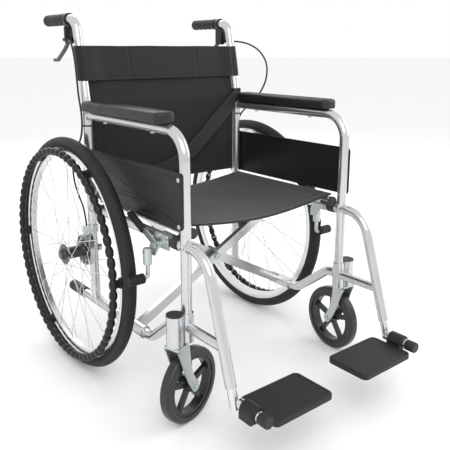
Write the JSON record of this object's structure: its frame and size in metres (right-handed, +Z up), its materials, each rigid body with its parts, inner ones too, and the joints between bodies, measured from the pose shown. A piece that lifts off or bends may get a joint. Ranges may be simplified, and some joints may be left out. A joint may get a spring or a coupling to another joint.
{
  "type": "folding wheelchair",
  "caption": "Folding manual wheelchair with tube frame, fabric seat and back, large spoked rear wheels, hand rims, front casters and flip-up footplates.",
  "frame": {"origin": "on the floor, on the centre plane, under the rear axle", "axes": "+X to the rider's left, -Y the way the chair faces, +Z up"},
  "size_m": [0.702, 0.9909, 0.919],
  "materials": {
    "frame_paint": "silver metallic paint, satin",
    "zinc": "zinc plated, slightly green",
    "spoke_steel": "bright steel",
    "lever_metal": "cast, satin",
    "rim_metal": "anodised, satin",
    "hub_metal": "black, satin",
    "tyre_rubber": "matte black rubber",
    "grip_rubber": "matte black, moulded",
    "pad_plastic": "self-skinned foam, semi-matte black",
    "guard_plastic": "matte black, embossed",
    "cap_plastic": "matte black",
    "cable_plastic": "black sheath",
    "rim_plastic": "black plastic coating",
    "plate_plastic": "black moulded plastic",
    "sling_fabric": "charcoal woven nylon",
    "belt_webbing": "black webbing"
  },
  "bodies": {
    "right_frame": {"right_rear_upright": "frame_paint", "right_arm_tube": "frame_paint", "right_side_rail_and_hanger": "frame_paint", "right_lower_frame": "frame_paint", "right_push_grip": "grip_rubber", "right_armrest_pad": "pad_plastic", "right_skirt_guard": "guard_plastic", "right_frame_fasteners": "zinc", "right_frame_caps": "cap_plastic", "right_brake_bracket": "guard_plastic", "right_brake_cable": "cable_plastic", "right_band_brake": "zinc", "right_lock_bracket": "zinc", "seat_sling": "sling_fabric", "back_sling": "sling_fabric", "lap_belt": "belt_webbing"},
    "brace_a": {"brace_a": "frame_paint", "brace_pivot_bolt": "zinc"},
    "brace_b": {"brace_b": "frame_paint"},
    "left_frame": {"left_rear_upright": "frame_paint", "left_arm_tube": "frame_paint", "left_side_rail_and_hanger": "frame_paint", "left_lower_frame": "frame_paint", "left_push_grip": "grip_rubber", "left_armrest_pad": "pad_plastic", "left_skirt_guard": "guard_plastic", "left_frame_fasteners": "zinc", "left_frame_caps": "cap_plastic", "left_brake_bracket": "guard_plastic", "left_brake_cable": "cable_plastic", "left_band_brake": "zinc", "left_lock_bracket": "zinc"},
    "right_wheel": {"right_wheel_tyre": "tyre_rubber", "right_wheel_rim": "rim_metal", "right_wheel_spokes": "spoke_steel", "right_wheel_hub": "hub_metal", "right_handrim": "rim_plastic"},
    "right_caster_fork": {"right_caster_fork": "zinc"},
    "right_caster_wheel": {"right_caster_wheel": "cap_plastic", "right_caster_tyre": "tyre_rubber"},
    "right_footrest": {"right_footrest_tube": "spoke_steel"},
    "right_spindle": {"right_footplate_spindle": "spoke_steel"},
    "right_footplate": {"right_footplate": "plate_plastic"},
    "right_lock_lever": {"right_lock_lever": "zinc"},
    "right_lock_shoe": {"right_lock_shoe": "zinc"},
    "right_brake_lever": {"right_brake_lever": "lever_metal"},
    "left_wheel": {"left_wheel_tyre": "tyre_rubber", "left_wheel_rim": "rim_metal", "left_wheel_spokes": "spoke_steel", "left_wheel_hub": "hub_metal", "left_handrim": "rim_plastic"},
    "left_caster_fork": {"left_caster_fork": "zinc"},
    "left_caster_wheel": {"left_caster_wheel": "cap_plastic", "left_caster_tyre": "tyre_rubber"},
    "left_footrest": {"left_footrest_tube": "spoke_steel"},
    "left_spindle": {"left_footplate_spindle": "spoke_steel"},
    "left_footplate": {"left_footplate": "plate_plastic"},
    "left_lock_lever": {"left_lock_lever": "zinc"},
    "left_lock_shoe": {"left_lock_shoe": "zinc"},
    "left_brake_lever": {"left_brake_lever": "lever_metal"}
  },
  "joints": [
    {"name": "fold", "type": "hinge", "parent": "right_frame", "child": "brace_a", "pos_m": [-0.25, -0.215, 0.155], "axis": [0, -1, 0], "range_deg": [0, 49], "deforming": ["seat_sling", "back_sling", "lap_belt"]},
    {"name": "fold_scissor", "type": "hinge", "parent": "brace_a", "child": "brace_b", "pos_m": [0, -0.207, 0.28816], "axis": [0, -1, 0], "range_deg": [-98, 0]},
    {"name": "fold_left", "type": "hinge", "parent": "brace_b", "child": "left_frame", "pos_m": [0.25, -0.199, 0.155], "axis": [0, -1, 0], "range_deg": [0, 49]},
    {"name": "right_wheel_spin", "type": "hinge", "parent": "right_frame", "child": "right_wheel", "pos_m": [-0.309, 0, 0.305], "axis": [1, 0, 0], "continuous": true},
    {"name": "right_caster_swivel", "type": "hinge", "parent": "right_frame", "child": "right_caster_fork", "pos_m": [-0.282, -0.43, 0.23], "axis": [0, 0, 1], "continuous": true},
    {"name": "right_caster_roll", "type": "hinge", "parent": "right_caster_fork", "child": "right_caster_wheel", "pos_m": [-0.23853, -0.41835, 0.088], "axis": [0.2588, -0.9659, 0], "continuous": true},
    {"name": "right_footrest_slide", "type": "slide", "parent": "right_frame", "child": "right_footrest", "axis": [0, -0.2941, -0.9558], "range_m": [-0.012, 0.05]},
    {"name": "right_plate_fold", "type": "hinge", "parent": "right_footrest", "child": "right_spindle", "pos_m": [-0.24, -0.63, 0.128], "axis": [0, -1, 0], "range_deg": [0, 90]},
    {"name": "right_plate_flip", "type": "hinge", "parent": "right_spindle", "child": "right_footplate", "pos_m": [-0.24, -0.63, 0.128], "axis": [0, 1, 0], "range_deg": [-90, 0]},
    {"name": "right_lock_turn", "type": "hinge", "parent": "right_frame", "child": "right_lock_lever", "pos_m": [-0.277, -0.355, 0.41], "axis": [1, 0, 0], "range_deg": [0, 50]},
    {"name": "right_lock_press", "type": "hinge", "parent": "right_frame", "child": "right_lock_shoe", "pos_m": [-0.278, -0.3205, 0.386], "axis": [1, 0, 0], "range_deg": [0, 2.5]},
    {"name": "right_brake_squeeze", "type": "hinge", "parent": "right_frame", "child": "right_brake_lever", "pos_m": [-0.25, 0.08, 0.852], "axis": [1, 0, 0], "range_deg": [0, 26], "stiffness_Nm_per_rad": 0.8, "springref_deg": -20.05},
    {"name": "left_wheel_spin", "type": "hinge", "parent": "left_frame", "child": "left_wheel", "pos_m": [0.309, 0, 0.305], "axis": [1, 0, 0], "continuous": true},
    {"name": "left_caster_swivel", "type": "hinge", "parent": "left_frame", "child": "left_caster_fork", "pos_m": [0.282, -0.43, 0.23], "axis": [0, 0, 1], "continuous": true},
    {"name": "left_caster_roll", "type": "hinge", "parent": "left_caster_fork", "child": "left_caster_wheel", "pos_m": [0.28592, -0.38517, 0.088], "axis": [0.9962, -0.0872, 0], "continuous": true},
    {"name": "left_footrest_slide", "type": "slide", "parent": "left_frame", "child": "left_footrest", "axis": [0, -0.2941, -0.9558], "range_m": [-0.012, 0.05]},
    {"name": "left_plate_fold", "type": "hinge", "parent": "left_footrest", "child": "left_spindle", "pos_m": [0.24, -0.63, 0.128], "axis": [0, 1, 0], "range_deg": [0, 90]},
    {"name": "left_plate_flip", "type": "hinge", "parent": "left_spindle", "child": "left_footplate", "pos_m": [0.24, -0.63, 0.128], "axis": [0, -1, 0], "range_deg": [-90, 0]},
    {"name": "left_lock_turn", "type": "hinge", "parent": "left_frame", "child": "left_lock_lever", "pos_m": [0.277, -0.355, 0.41], "axis": [1, 0, 0], "range_deg": [0, 50]},
    {"name": "left_lock_press", "type": "hinge", "parent": "left_frame", "child": "left_lock_shoe", "pos_m": [0.278, -0.3205, 0.386], "axis": [1, 0, 0], "range_deg": [0, 2.5]},
    {"name": "left_brake_squeeze", "type": "hinge", "parent": "left_frame", "child": "left_brake_lever", "pos_m": [0.25, 0.08, 0.852], "axis": [1, 0, 0], "range_deg": [0, 26], "stiffness_Nm_per_rad": 0.8, "springref_deg": -20.05}
  ],
  "couplings": [
    {"joint": "fold_scissor", "follows": "fold", "ratio": -2},
    {"joint": "fold_left", "follows": "fold", "ratio": 1},
    {"joint": "right_plate_fold", "follows": "fold", "ratio": 1.8362},
    {"joint": "right_lock_press", "follows": "right_lock_turn", "ratio": 0.0499},
    {"joint": "left_plate_fold", "follows": "fold", "ratio": 1.8362},
    {"joint": "left_lock_press", "follows": "left_lock_turn", "ratio": 0.0499}
  ]
}
